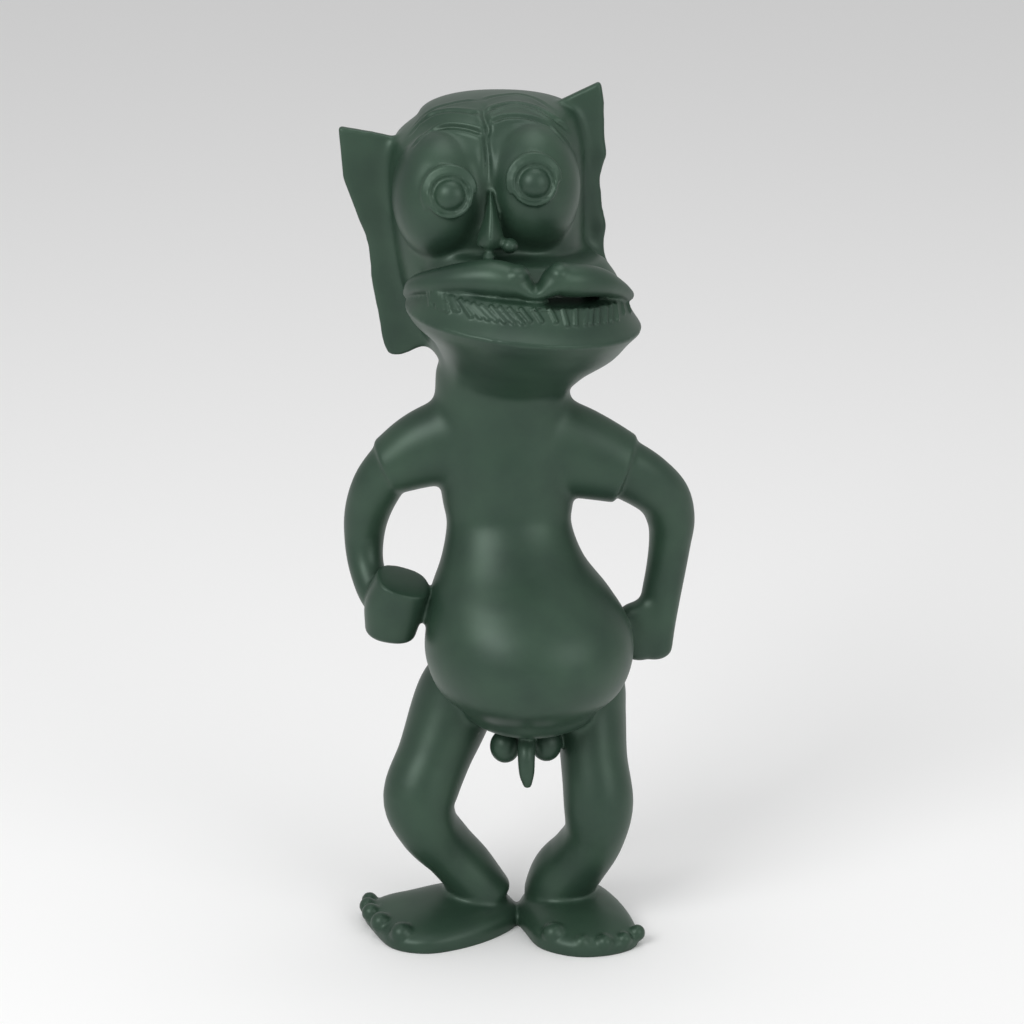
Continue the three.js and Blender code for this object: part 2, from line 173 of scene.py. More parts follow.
@dataclass(frozen=True)
class Ring:
    """A round ring of round section."""

    centre: Triple
    radius: float
    thick: float
    facing: Triple

    def build(self, bm: bmesh.types.BMesh) -> None:
        """Spins a small circle about the ring's axis."""
        section = bmesh.ops.create_circle(bm, cap_ends=False, segments=12, radius=self.thick)["verts"]
        tilt = Matrix.Translation((self.radius, 0, 0)) @ Matrix.Rotation(math.pi / 2, 4, "X")
        bmesh.ops.transform(bm, matrix=tilt, verts=section)
        edges = list({edge for vert in section for edge in vert.link_edges})
        spun = bmesh.ops.spin(bm, geom=section + edges, cent=(0, 0, 0), axis=(0, 0, 1), angle=math.tau,
                              steps=64, use_merge=True, use_duplicate=False)
        found = set(section)
        for item in spun["geom_last"]:
            if isinstance(item, bmesh.types.BMVert):
                found.add(item)
        grown = self._connected(found)
        turn = Vector((0, 0, 1)).rotation_difference(Vector(self.facing)).to_matrix().to_4x4()
        bmesh.ops.transform(bm, matrix=Matrix.Translation(self.centre) @ turn, verts=grown)

    @staticmethod
    def _connected(start: set) -> List[bmesh.types.BMVert]:
        """All the verts that edges join to the given ones."""
        seen = {vert for vert in start if vert.is_valid}
        queue = list(seen)
        while queue:
            for edge in queue.pop().link_edges:
                for vert in edge.verts:
                    if vert not in seen:
                        seen.add(vert)
                        queue.append(vert)
        return list(seen)


@dataclass(frozen=True)
class Pad:
    """A rounded slab over an outline on the floor, high at the ankle and low at its rim."""

    outline: Sequence[Pixel]
    ankle: Pixel
    ankle_high: float = 13.0
    toe_high: float = 7.0
    long: float = 46.0
    edge_high: float = 2.0
    squareness: float = 2.7

    def build(self, bm: bmesh.types.BMesh) -> None:
        """Adds the slab to a bmesh."""
        verts = bmesh.ops.create_uvsphere(bm, u_segments=72, v_segments=40, radius=1.0)["verts"]
        unit = np.array([v.co for v in verts])
        corners = np.array(self.outline, dtype=float)
        edge = spline(corners, np.arctan2(unit[:, 1], unit[:, 0]) / math.tau, closed=True)
        middle = corners.mean(axis=0)
        spread = squared(np.hypot(unit[:, 0], unit[:, 1]), self.squareness)[:, None]
        flat = middle + (edge - middle) * spread
        away = np.hypot(*(flat - np.array(self.ankle)).T) / self.long
        high = self.ankle_high + (self.toe_high - self.ankle_high) * np.minimum(1.0, away) - self.edge_high
        tall = self.edge_high + high * squared(unit[:, 2], self.squareness)
        for vert, (x, y), z in zip(verts, flat, tall):
            vert.co = (x, y, z)


@dataclass(frozen=True)
class Flap:
    """A thin plate with a rounded edge, from its outline seen from the front."""

    outline: Sequence[Pixel]
    depth: float
    thick: float = 4.0
    curl: float = 0.0
    curl_from: float = 0.0

    def build(self, bm: bmesh.types.BMesh) -> None:
        """Adds the plate to a bmesh: a face that is extruded through the plate's thickness and closed."""
        tip, rest = self.outline[0], np.array(self.outline[1:], dtype=float)
        curve = spline(rest, np.linspace(0, 1, 60))
        half = self.thick / 2
        rim = [bm.verts.new((x, self.depth, z)) for x, z in [tip, *curve]]
        face = bm.faces.new(rim)
        lid = bmesh.ops.extrude_face_region(bm, geom=[face])
        top = [item for item in lid["geom"] if isinstance(item, bmesh.types.BMVert)]
        bmesh.ops.translate(bm, vec=(0, half, 0), verts=top)
        bmesh.ops.translate(bm, vec=(0, -half, 0), verts=rim)
        own = list({near for vert in (*rim, *top) for near in vert.link_faces})
        bmesh.ops.recalc_face_normals(bm, faces=own)


@dataclass(frozen=True)
class Sight:
    """Where the photograph was taken from, which places the camera and the marks on the surface."""

    elevation: float = 18.0
    distance: float = 1200.0
    aim: Triple = (-1.0, 0.0, 150.5)
    focal_px: float = 3473.0
    frame_px: float = 1024.0

    def axes(self) -> Tuple[Vector, Vector, Vector, Vector]:
        """The camera's place and its right, up and forward directions."""
        e = math.radians(self.elevation)
        forward = Vector((0, math.cos(e), -math.sin(e)))
        up = Vector((0, math.sin(e), math.cos(e)))
        return Vector(self.aim) - forward * self.distance, Vector((1, 0, 0)), up, forward

    def ray(self, pixel: Pixel) -> Tuple[Vector, Vector]:
        """The line of sight through a pixel of the square picture."""
        eye, right, up, forward = self.axes()
        half = self.frame_px / 2
        way = forward + right * ((pixel[0] - half) / self.focal_px) - up * ((pixel[1] - half) / self.focal_px)
        return eye, way.normalized()

    def camera(self) -> bpy.types.Object:
        """Makes the scene's camera at the photograph's angle."""
        data = bpy.data.cameras.new("camera")
        data.sensor_width = 36.0
        data.lens = self.focal_px * 36.0 / self.frame_px
        data.clip_start = 0.05
        data.clip_end = 20.0
        camera = bpy.data.objects.new("camera", data)
        bpy.context.collection.objects.link(camera)
        eye, _, _, forward = self.axes()
        camera.location = (eye + BOX_SHIFT) * MM
        camera.rotation_mode = "QUATERNION"
        camera.rotation_quaternion = forward.to_track_quat("-Z", "Y")
        bpy.context.scene.camera = camera
        return camera


class Clay:
    """The working mesh, in millimetres, and the moves that shape it."""

    def __init__(self, name: str, sight: Sight) -> None:
        self.sight = sight
        self.obj = bpy.data.objects.new(name, bpy.data.meshes.new(name))
        bpy.context.collection.objects.link(self.obj)

    def add(self, forms: Sequence[object]) -> None:
        """Joins closed forms to what is there already."""
        whole = bmesh.new()
        whole.from_mesh(self.obj.data)
        for form in forms:
            piece = bmesh.new()
            form.build(piece)
            made = bpy.data.meshes.new("form")
            piece.to_mesh(made)
            piece.free()
            whole.from_mesh(made)
            bpy.data.meshes.remove(made)
        whole.to_mesh(self.obj.data)
        whole.free()

    def modify(self, kind: str, **settings: object) -> None:
        """Applies one modifier.

        Args:
            kind: The modifier's type.
            settings: Its settings.
        """
        modifier = self.obj.modifiers.new(kind.lower(), kind)
        for key, value in settings.items():
            setattr(modifier, key, value)
        bpy.context.view_layer.update()
        graph = bpy.context.evaluated_depsgraph_get()
        made = bpy.data.meshes.new_from_object(self.obj.evaluated_get(graph))
        self.obj.modifiers.remove(modifier)
        old = self.obj.data
        self.obj.data = made
        bpy.data.meshes.remove(old)

    def fuse(self, voxel: float) -> None:
        """Makes everything that overlaps one skin, in squares of about `voxel`."""
        self.modify("REMESH", mode="VOXEL", voxel_size=voxel, adaptivity=0.0, use_smooth_shade=True)

    @property
    def co(self) -> np.ndarray:
        """All the vertices' places."""
        flat = np.empty(len(self.obj.data.vertices) * 3, dtype=np.float32)
        self.obj.data.vertices.foreach_get("co", flat)
        return flat.reshape(-1, 3).astype(float)

    @co.setter
    def co(self, places: np.ndarray) -> None:
        self.obj.data.vertices.foreach_set("co", places.astype(np.float32).ravel())
        self.obj.data.update()

    @property
    def normals(self) -> np.ndarray:
        """All the vertices' outward normals."""
        flat = np.empty(len(self.obj.data.vertices) * 3, dtype=np.float32)
        self.obj.data.vertex_normals.foreach_get("vector", flat)
        return flat.reshape(-1, 3).astype(float)

    def edges(self) -> np.ndarray:
        """All the edges' vertex pairs."""
        flat = np.empty(len(self.obj.data.edges) * 2, dtype=np.int32)
        self.obj.data.edges.foreach_get("vertices", flat)
        return flat.reshape(-1, 2)

    def smooth(self, weight: np.ndarray, rounds: int, swell: float = 0.0) -> None:
        """Draws each vertex towards the middle of its neighbours.

        Args:
            weight: How strongly each vertex moves, from 0 to 1.
            rounds: How many times.
            swell: The share of each move that the next one takes back, to keep thin parts thick.
        """
        places, pairs = self.co, self.edges()
        live = weight > 1e-3
        pairs = pairs[live[pairs].any(axis=1)]
        first, second = pairs.T
        count = np.bincount(first, minlength=len(places)) + np.bincount(second, minlength=len(places))
        count = np.maximum(count, 1)
        for turn in range(rounds):
            share = 0.5 if turn % 2 == 0 or swell == 0 else -0.5 * swell
            move = np.empty_like(places)
            for axis in range(3):
                column = places[:, axis]
                total = (np.bincount(first, weights=column[second], minlength=len(places))
                         + np.bincount(second, weights=column[first], minlength=len(places)))
                move[:, axis] = total / count - column
            places = places + move * (share * weight)[:, None]
        self.co = places

    def tree(self) -> BVHTree:
        """A search tree of the present surface."""
        return BVHTree.FromObject(self.obj, bpy.context.evaluated_depsgraph_get())

    def trace(self, tree: BVHTree, pixels: Sequence[Pixel], step: float = 2.0,
              closed: bool = False) -> np.ndarray:
        """Lays a curve that is drawn as the photographer sees it onto the surface.

        Args:
            tree: The search tree of the surface.
            pixels: The curve's points in the picture.
            step: How far apart the laid points are, in pixels.
            closed: Whether the curve comes back to its start.

        Returns:
            The laid points.
        """
        drawn = np.array(pixels, dtype=float)
        if len(drawn) > 1:
            runs = np.hypot(*np.diff(drawn, axis=0).T).sum()
            count = max(2, int(runs / step))
            drawn = spline(drawn, np.linspace(0, 1, count, endpoint=not closed), closed)
        laid = []
        for pixel in drawn:
            hit, _, _, _ = tree.ray_cast(*self.sight.ray(tuple(pixel)))
            if hit is not None:
                laid.append(hit)
        return np.array(laid)

    @staticmethod
    def away(places: np.ndarray, line: np.ndarray, reach: float) -> Tuple[np.ndarray, np.ndarray, np.ndarray]:
        """How far vertices lie from a laid curve.

        Args:
            places: The vertices.
            line: The curve's points.
            reach: The farthest distance that matters.

        Returns:
            The indices in reach, their distances, and how far along the curve they are, from 0 to 1.
        """
        low, high = line.min(axis=0) - reach, line.max(axis=0) + reach
        near = np.flatnonzero(((places > low) & (places < high)).all(axis=1))
        best = np.full(len(near), np.inf)
        where = np.zeros(len(near))
        spots = places[near]
        last = max(1, len(line) - 1)
        for index in range(max(1, len(line) - 1)):
            a = line[index]
            b = line[min(index + 1, len(line) - 1)]
            run = b - a
            length = max(1e-9, float(run @ run))
            t = np.clip(((spots - a) @ run) / length, 0, 1)
            gap = np.linalg.norm(spots - (a + t[:, None] * run), axis=1)
            closer = gap < best
            best[closer] = gap[closer]
            where[closer] = (index + t[closer]) / last
        keep = best < reach
        return near[keep], best[keep], where[keep]

    def groove(self, line: np.ndarray, deep: float, wide: float, shoulder: float = 0.0,
               taper: float = 0.15) -> None:
        """Presses a line into the surface, with a raised edge on both sides.

        Args:
            line: The laid curve.
            deep: The depth at the middle, or a ridge's height if negative.
            wide: Half the line's width.
            shoulder: How far the edges beside it stand up.
            taper: The share of its length over which each end fades.
        """
        if len(line) < 2:
            return
        places, normals = self.co, self.normals
        index, gap, where = self.away(places, line, wide * 5)
        ends = np.clip(np.minimum(where, 1 - where) / max(1e-6, taper), 0, 1) if taper > 0 else 1.0
        profile = -deep * np.exp(-(gap / wide) ** 2)
        profile = profile + shoulder * np.exp(-((gap - 2.1 * wide) / (1.1 * wide)) ** 2)
        places[index] += normals[index] * (profile * ends)[:, None]
        self.co = places

    def push(self, centre: np.ndarray, radius: float, height: float) -> None:
        """Raises a small bump, or a pit if the height is negative."""
        places, normals = self.co, self.normals
        gap = np.linalg.norm(places - centre, axis=1)
        near = gap < radius * 2.5
        places[near] += normals[near] * (height * np.exp(-(gap[near] / radius) ** 2))[:, None]
        self.co = places

    def cut(self, cutter: "Clay") -> None:
        """Takes another closed form out of this one."""
        self.modify("BOOLEAN", operation="DIFFERENCE", object=cutter.obj, solver="MANIFOLD")
        bpy.data.objects.remove(cutter.obj)


def lattice_noise(places: np.ndarray, scale: float, seed: int) -> np.ndarray:
    """Smooth random values between -1 and 1.

    Args:
        places: Where they are wanted.
        scale: The size of one wave, in the same unit.
        seed: Which pattern.

    Returns:
        One value per place.
    """
    side = 64
    grid = np.random.default_rng(seed).uniform(-1, 1, (side, side, side))
    spot = places / scale + 1000.0
    base = np.floor(spot).astype(int)
    f = spot - base
    f = f * f * (3 - 2 * f)
    value = np.zeros(len(places))
    for dx in (0, 1):
        for dy in (0, 1):
            for dz in (0, 1):
                corner = grid[(base[:, 0] + dx) % side, (base[:, 1] + dy) % side, (base[:, 2] + dz) % side]
                share = (np.where(dx, f[:, 0], 1 - f[:, 0]) * np.where(dy, f[:, 1], 1 - f[:, 1])
                         * np.where(dz, f[:, 2], 1 - f[:, 2]))
                value += corner * share
    return value


@dataclass
class Body:
    """The trunk, the hips and the two legs."""

    torso: List[Station] = field(default_factory=lambda: [
        (-5, 2.5, 202, 22.5, 19), (-4.2, 2, 190, 23.3, 18), (-3.4, 1, 179, 24.4, 17), (-3, 0, 169, 24, 17),
        (-2.4, 0, 155, 22.6, 16.5), (-2, -2, 147, 21.6, 17), (-0.7, -6, 136, 24.8, 21),
        (1.8, -10, 125.5, 31, 27), (4.4, -13, 115, 35, 31.5), (5, -14, 104, 36, 33),
        (5.2, -13, 92, 32, 30), (5.3, -11, 83, 23, 22)])
    left_leg: List[Station] = field(default_factory=lambda: [
        (-15, 3, 97, 9, 11), (-19, 3, 87, 13.6, 15), (-22.6, 1, 76, 14.4, 15.5), (-28.4, -5, 62, 13, 13.8),
        (-33.4, -11, 49, 13, 12.6), (-30.8, -11, 38, 11, 12), (-23.6, -7, 27.5, 9.4, 12),
        (-16.6, -5, 18, 9.8, 12.5), (-11.5, -5, 8, 11.4, 12)])
    right_leg: List[Station] = field(default_factory=lambda: [
        (21, 3, 97, 9, 11), (25.2, 3, 87, 13.2, 15), (26.6, 1, 76, 12.6, 15.5), (27.8, -6, 61.5, 11.8, 13.8),
        (29.4, -12, 47, 12.3, 12.6), (28, -10, 34, 10.8, 12), (22.8, -6, 23.5, 10.8, 13),
        (17.4, -3, 15, 12, 14), (15.6, -2, 7, 12.8, 14)])
    pelvis: Dome = Dome((3, 3, 87), (32, 17, 16))
    groin: Dome = Dome((4, -6, 80), (17, 9, 9))
    stem: List[Station] = field(default_factory=lambda: [
        (4.4, -14, 76, 3, 3), (4, -22, 70, 3.1, 3), (4.1, -24, 63, 2.7, 2.6), (4.3, -24, 59.5, 1.8, 1.8)])
    left_pouch: Dome = Dome((-3.4, -12, 68.4), (5.4, 5.4, 6))
    right_pouch: Dome = Dome((11, -12, 69), (5.4, 5.4, 6))

    def core(self) -> List[object]:
        """The large forms, which run into each other softly."""
        return [
            Loft(self.torso, 4, 9, level=(0, 0, 1), sides=72, rows=80),
            Loft(self.left_leg, 8, 3), Loft(self.right_leg, 8, 3), self.pelvis, self.groin]

    def details(self) -> List[object]:
        """The small forms, which are set on the large ones."""
        return [Loft(self.stem, 2, 2), self.left_pouch, self.right_pouch]


@dataclass
class Feet:
    """The two flat-soled feet and their toenails."""

    left: Pad = Pad(((-54, -6), (-50.8, -17), (-43.6, -31.8), (-32, -36.6), (-20, -33), (-8, -24.4),
                     (0.4, -13), (0, -2), (-8, 9), (-24, 9.4), (-40, 4), (-49, 1)), (-14, -4))
    right: Pad = Pad(((0.6, -7), (3.6, -19), (9, -32), (21, -39), (34, -37.6), (43, -30), (42, -17),
                      (37, -2), (29.4, 10), (17, 14.6), (5, 7)), (17, -2))
    left_nails: Sequence[Tuple[float, float, float, float]] = (
        (-39.6, -30, 5, 4.2), (-47.2, -20.6, 5, 3.8), (-51, -12.4, 5, 3.4), (-52.4, -6.2, 4.8, 3.1),
        (-52, -0.8, 4.6, 2.9))
    right_nails: Sequence[Tuple[float, float, float, float]] = (
        (13.6, -31, 5.4, 4.2), (23.4, -35.6, 4, 3.2), (31.2, -35.6, 4, 3.4), (38.2, -32.6, 4, 2.8),
        (42.8, -28, 4.4, 3))

    def core(self) -> List[object]:
        """The two slabs."""
        return [self.left, self.right]

    def details(self) -> List[object]:
        """The toenails."""
        return [Dome((x, y, z), (r, r, r)) for x, y, z, r in (*self.left_nails, *self.right_nails)]


@dataclass
class Arms:
    """The sleeves, the arms, the fist and the open hand on the belly."""

    left_sleeve: List[Station] = field(default_factory=lambda: [
        (-6, 1, 177, 19, 14), (-27, 0.5, 174.6, 15, 12), (-44.4, 0, 166.6, 10, 10)])
    right_sleeve: List[Station] = field(default_factory=lambda: [
        (0, 1, 176, 19, 14), (19, 0.5, 172.6, 17, 12), (38, 0, 166, 12.4, 10.4)])
    left_arm: List[Station] = field(default_factory=lambda: [
        (-40.5, 0, 170, 8.8, 8.6), (-47, 1.5, 160.4, 8.8, 8.4), (-51, 4, 150, 8, 8), (-52.4, 5, 140, 7, 7.4),
        (-51.8, 2, 131, 6.2, 6.6), (-48.8, -4, 123.5, 6, 6.2), (-45, -9, 119.5, 6, 6)])
    right_arm: List[Station] = field(default_factory=lambda: [
        (33, 0, 169, 11, 9), (44, 3, 161.6, 10.6, 8.6), (51.4, 7, 154, 9.4, 8.2), (54.4, 9.5, 145, 8.4, 7.8),
        (54.2, 10.5, 136, 7.4, 7.4), (52.8, 10, 125.5, 7, 7), (51, 8.5, 116, 7, 6.6), (49.2, 6.5, 107, 7.2, 6),
        (48.2, 5, 99.5, 7.2, 5)])
    right_palm: List[Station] = field(default_factory=lambda: [
        (43, 5.5, 112, 7, 5), (43, 4.5, 105, 9, 5.4), (43, 4, 99.5, 8, 5)])
    fist: List[Station] = field(default_factory=lambda: [
        (-43, -10, 111.8, 9, 8.2), (-41.4, -12, 121, 10.4, 9.4), (-38.4, -14.4, 130, 9.4, 9)])
    bridge: List[Station] = field(default_factory=lambda: [
        (-36, -11, 120, 5.4, 5.4), (-26, -11, 119, 5.4, 5.4)])

    def core(self) -> List[object]:
        """The sleeves and the arms."""
        upright = (0.0, 0.0, 1.0)
        return [
            Loft(self.left_sleeve, 4, 0.4, across=upright, cap_share=0.04),
            Loft(self.right_sleeve, 4, 0.4, across=upright, cap_share=0.04),
            Loft(self.left_arm), Loft(self.right_arm, 4, 5), Loft(self.right_palm, 4, 5),
            Loft(self.bridge, 5.4, 5.4, across=upright)]

    def details(self) -> List[object]:
        """The fist."""
        return [Loft(self.fist, 4, 0.8, squareness=2.5, sides=64, rows=72, cap_share=0.2)]


@dataclass
class Head:
    """The skull, the jaw, the lips and teeth, the eyes, the nose and the ear flaps."""

    skull: List[Station] = field(default_factory=lambda: [
        (-5, 5, 206, 22, 20), (-7, 5, 222, 28, 25), (-8.5, 5, 240, 31.4, 29), (-9.5, 5, 262, 32.6, 31),
        (-9.2, 6, 279, 32.2, 29), (-5.6, 7, 288, 27, 24)])
    jaw_slope: float = 0.1
    jaw: List[Station] = field(default_factory=lambda: [
        (-4.6, 2, 196, 22.4, 18.5), (0, -3, 204, 24.6, 23.6), (3, -11, 213, 30.8, 31),
        (2.2, -17, 220.6, 36.4, 36), (2.6, -19, 224.4, 39, 38), (2.8, -19.6, 226, 39.8, 38.8),
        (2.6, -19, 227.6, 38.8, 37), (2.5, -18.2, 231, 36.6, 34.4), (2.4, -17.6, 236.6, 34, 31.4)])
    muzzle: List[Station] = field(default_factory=lambda: [
        (2, -12, 231, 33, 25), (2, -12, 239, 33, 25), (0, -10, 245, 31, 22)])
    upper_lip: List[Station] = field(default_factory=lambda: [
        (-34, -20.5, 234, 2.6, 3.6), (-31.4, -26, 238, 3.6, 4.6), (-25.6, -32.4, 240.6, 4.4, 5.2),
        (-16.4, -37.6, 243, 5.4, 6), (-7, -40.8, 243.8, 6.2, 6.4), (0.6, -42.2, 242.6, 5.2, 6),
        (7, -43, 239.4, 2.2, 4.6), (13.6, -42.2, 243.4, 5.2, 6), (20, -40, 243, 5.6, 6.2),
        (27.4, -34.6, 241, 4.8, 5.4), (33, -27, 237, 3.4, 4.4), (36.6, -20, 233, 2.4, 3.4)])
    lobes: Sequence[Dome] = (Dome((0.4, -43, 245.4), (4.4, 5.2, 3.6)), Dome((14.4, -43, 246), (4.2, 5.2, 3.8)))
    nose: List[Station] = field(default_factory=lambda: [
        (-8, -27.4, 268, 0.8, 3), (-7.8, -29.4, 262, 2.4, 4.4), (-8, -30.4, 256, 4.2, 6),
        (-8.2, -30.4, 253, 4.6, 5.6)])
    nostrils: Sequence[Dome] = (Dome((-1.8, -32, 252.6), (2.8, 3, 2.6)), Dome((-8.6, -34, 249.6), (2.2, 2.4, 1.5)))
    left_ear: Flap = Flap(((-59, 285.6), (-57.6, 268), (-51.4, 250), (-49.4, 238), (-46.4, 221),
                           (-44.4, 210), (-41, 206.6), (-33, 209), (-26, 216), (-26, 276), (-42, 282.6)), 1.5)
    right_ear: Flap = Flap(((28.6, 300.2), (30.6, 288), (30.8, 276), (29.6, 266), (31.2, 251), (31, 242),
                            (34, 234), (36, 229), (35, 222), (14, 222), (8, 262), (14.4, 293.4)), 5)
    domes: Sequence[Dome] = (Dome((-24.8, -14, 265.4), (16.2, 18.4, 21.6)),
                             Dome((5.6, -14, 268.4), (16.2, 18.4, 21.6)))
    rings: Sequence[Triple] = ((-21.2, -32.2, 269.6), (6.4, -31.8, 273.6))
    facings: Sequence[Triple] = ((-0.04, -0.97, 0.2), (0.06, -0.97, 0.22))
    ring_radius: float = 7.1
    ring_thick: float = 0.75
    pupil_radius: float = 5.0
    pupil_proud: float = 3.6
    lid_radius: float = 8.9
    slit: List[Station] = field(default_factory=lambda: [
        (-19.4, -33, 236.8, 0.4, 9), (-14.1, -36, 235.6, 0.6, 10), (-5.3, -39, 235.2, 0.9, 11),
        (0.3, -40, 235, 0.95, 11), (11.1, -40, 235.6, 1.45, 11), (21.9, -37, 235.3, 1.9, 11),
        (27.6, -33, 234.5, 1.6, 10), (32.4, -28, 232.9, 0.5, 9)])
    teeth_count: int = 28
    teeth_top: Sequence[Pixel] = ((429, 293), (436, 290.5), (446, 294), (455, 297), (471, 302.5), (493, 306),
                                  (516, 308), (549, 308), (582, 307.5), (599, 306), (614, 303.5), (627, 302.5))
    teeth_foot: Sequence[Pixel] = ((431, 305), (441, 309.5), (455, 314), (480, 318.5), (506, 323), (533, 325.5),
                                   (566, 326), (591, 324.5), (612, 321), (631, 316.5))

    def core(self) -> List[object]:
        """The large forms of the head."""
        level = (self.jaw_slope, 0.0, 1.0)
        return [
            Loft(self.skull, 3, 7.6, level=(0, 0, 1), squareness=2.3, sides=80, rows=80),
            Loft(self.jaw, 3, 1.2, level=level, sides=128, rows=120, cap_share=0.06),
            Loft(self.muzzle, 2, 3, level=level, sides=64), *self.domes, self.left_ear, self.right_ear]

    def details(self) -> List[object]:
        """The small forms of the head."""
        forms: List[object] = [
            Loft(self.upper_lip, 2, 2, across=(0, 0, 1), sides=40, rows=120, cap_share=0.05),
            *self.lobes, Loft(self.nose, 2, 2, sides=32, squareness=1.35), *self.nostrils]
        for centre, facing in zip(self.rings, self.facings):
            forms.extend(self._eye(Vector(centre), Vector(facing).normalized()))
        return forms

    def teeth(self, clay: "Clay") -> List[object]:
        """The row of ribs on the lower lip, each laid on the surface from its top to its foot.

        Args:
            clay: The surface that carries them.

        Returns:
            The ribs.
        """
        tree = clay.tree()
        rng = np.random.default_rng(7)
        share = np.linspace(0.0, 1.0, self.teeth_count)
        share[1:-1] += rng.uniform(-0.2, 0.2, self.teeth_count - 2) / self.teeth_count
        tops = spline(np.array(self.teeth_top), share)
        feet = spline(np.array(self.teeth_foot), share)
        ribs: List[object] = []
        for top, foot in zip(tops, feet):
            line = clay.trace(tree, (tuple(top + (foot - top) * 0.06), tuple(foot)), step=3.0)
            if len(line) < 3:
                continue
            width = 0.86 + rng.uniform(-0.12, 0.1)
            ribs.append(Loft([(*spot, width, width) for spot in line[::2]], 0.5, 0.4, sides=12, rows=20))
        return ribs

    def _eye(self, centre: Vector, facing: Vector) -> List[object]:
        """The flat disc, the raised rim, the pupil and the lid over them."""
        side = Vector((1, 0, 0)) - facing * facing.x
        side.normalize()
        up = side.cross(facing) * -1
        if up.z < 0:
            up = -up
        lid = []
        for step in range(9):
            share = step / 8
            angle = math.radians(205 - 200 * share)
            thick = 0.5 + 0.9 * math.sin(math.pi * share)
            place = centre + (side * math.cos(angle) + up * math.sin(angle)) * self.lid_radius - facing * 0.5
            lid.append((*place, thick, thick))
        return [
            Dome(tuple(centre - facing * 1.4), (7.6, 7.6, 2.2), tuple(facing)),
            Ring(tuple(centre + facing * 0.5), self.ring_radius, self.ring_thick, tuple(facing)),
            Dome(tuple(centre), (self.pupil_radius, self.pupil_radius, self.pupil_proud), tuple(facing)),
            Loft(lid, 1, 1, across=tuple(facing), sides=16, rows=60)]


@dataclass(frozen=True)
class Mark:
    """A line as the photographer sees it, pressed into or raised from the surface."""

    pixels: Sequence[Pixel]
    deep: float
    wide: float
    shoulder: float = 0.0
    taper: float = 0.15


FOREHEAD = (
    Mark(((406, 136), (421, 119), (434, 109), (450, 104), (466, 101), (478, 101)), 0.28, 0.7, 0.12),
    Mark(((408, 137), (421, 122), (434, 114), (450, 111), (466, 112), (482, 114)), 0.6, 0.75, 0.3),
    Mark(((411, 149), (422, 137), (434, 130.5), (449, 127), (465, 128.5), (477, 132), (485, 136)), 0.6, 0.75, 0.3),
    Mark(((481, 101), (492, 97), (508, 94.5), (521, 94.5), (537, 99.7), (557, 113)), 0.3, 0.7, 0.15),
    Mark(((484, 114), (494, 108), (508, 104), (521, 104), (535, 108), (548, 115), (563, 126), (574, 137)),
         0.6, 0.75, 0.3),
    Mark(((488, 124), (500, 118.5), (510, 116.5), (524, 117), (537, 120.5), (551, 128), (568, 147)), 0.6, 0.75, 0.3),
    Mark(((484, 103), (484, 114), (486, 121), (488, 130), (486, 138), (487, 150), (488, 165), (488, 184)),
         0.9, 0.95, 0.2),
)


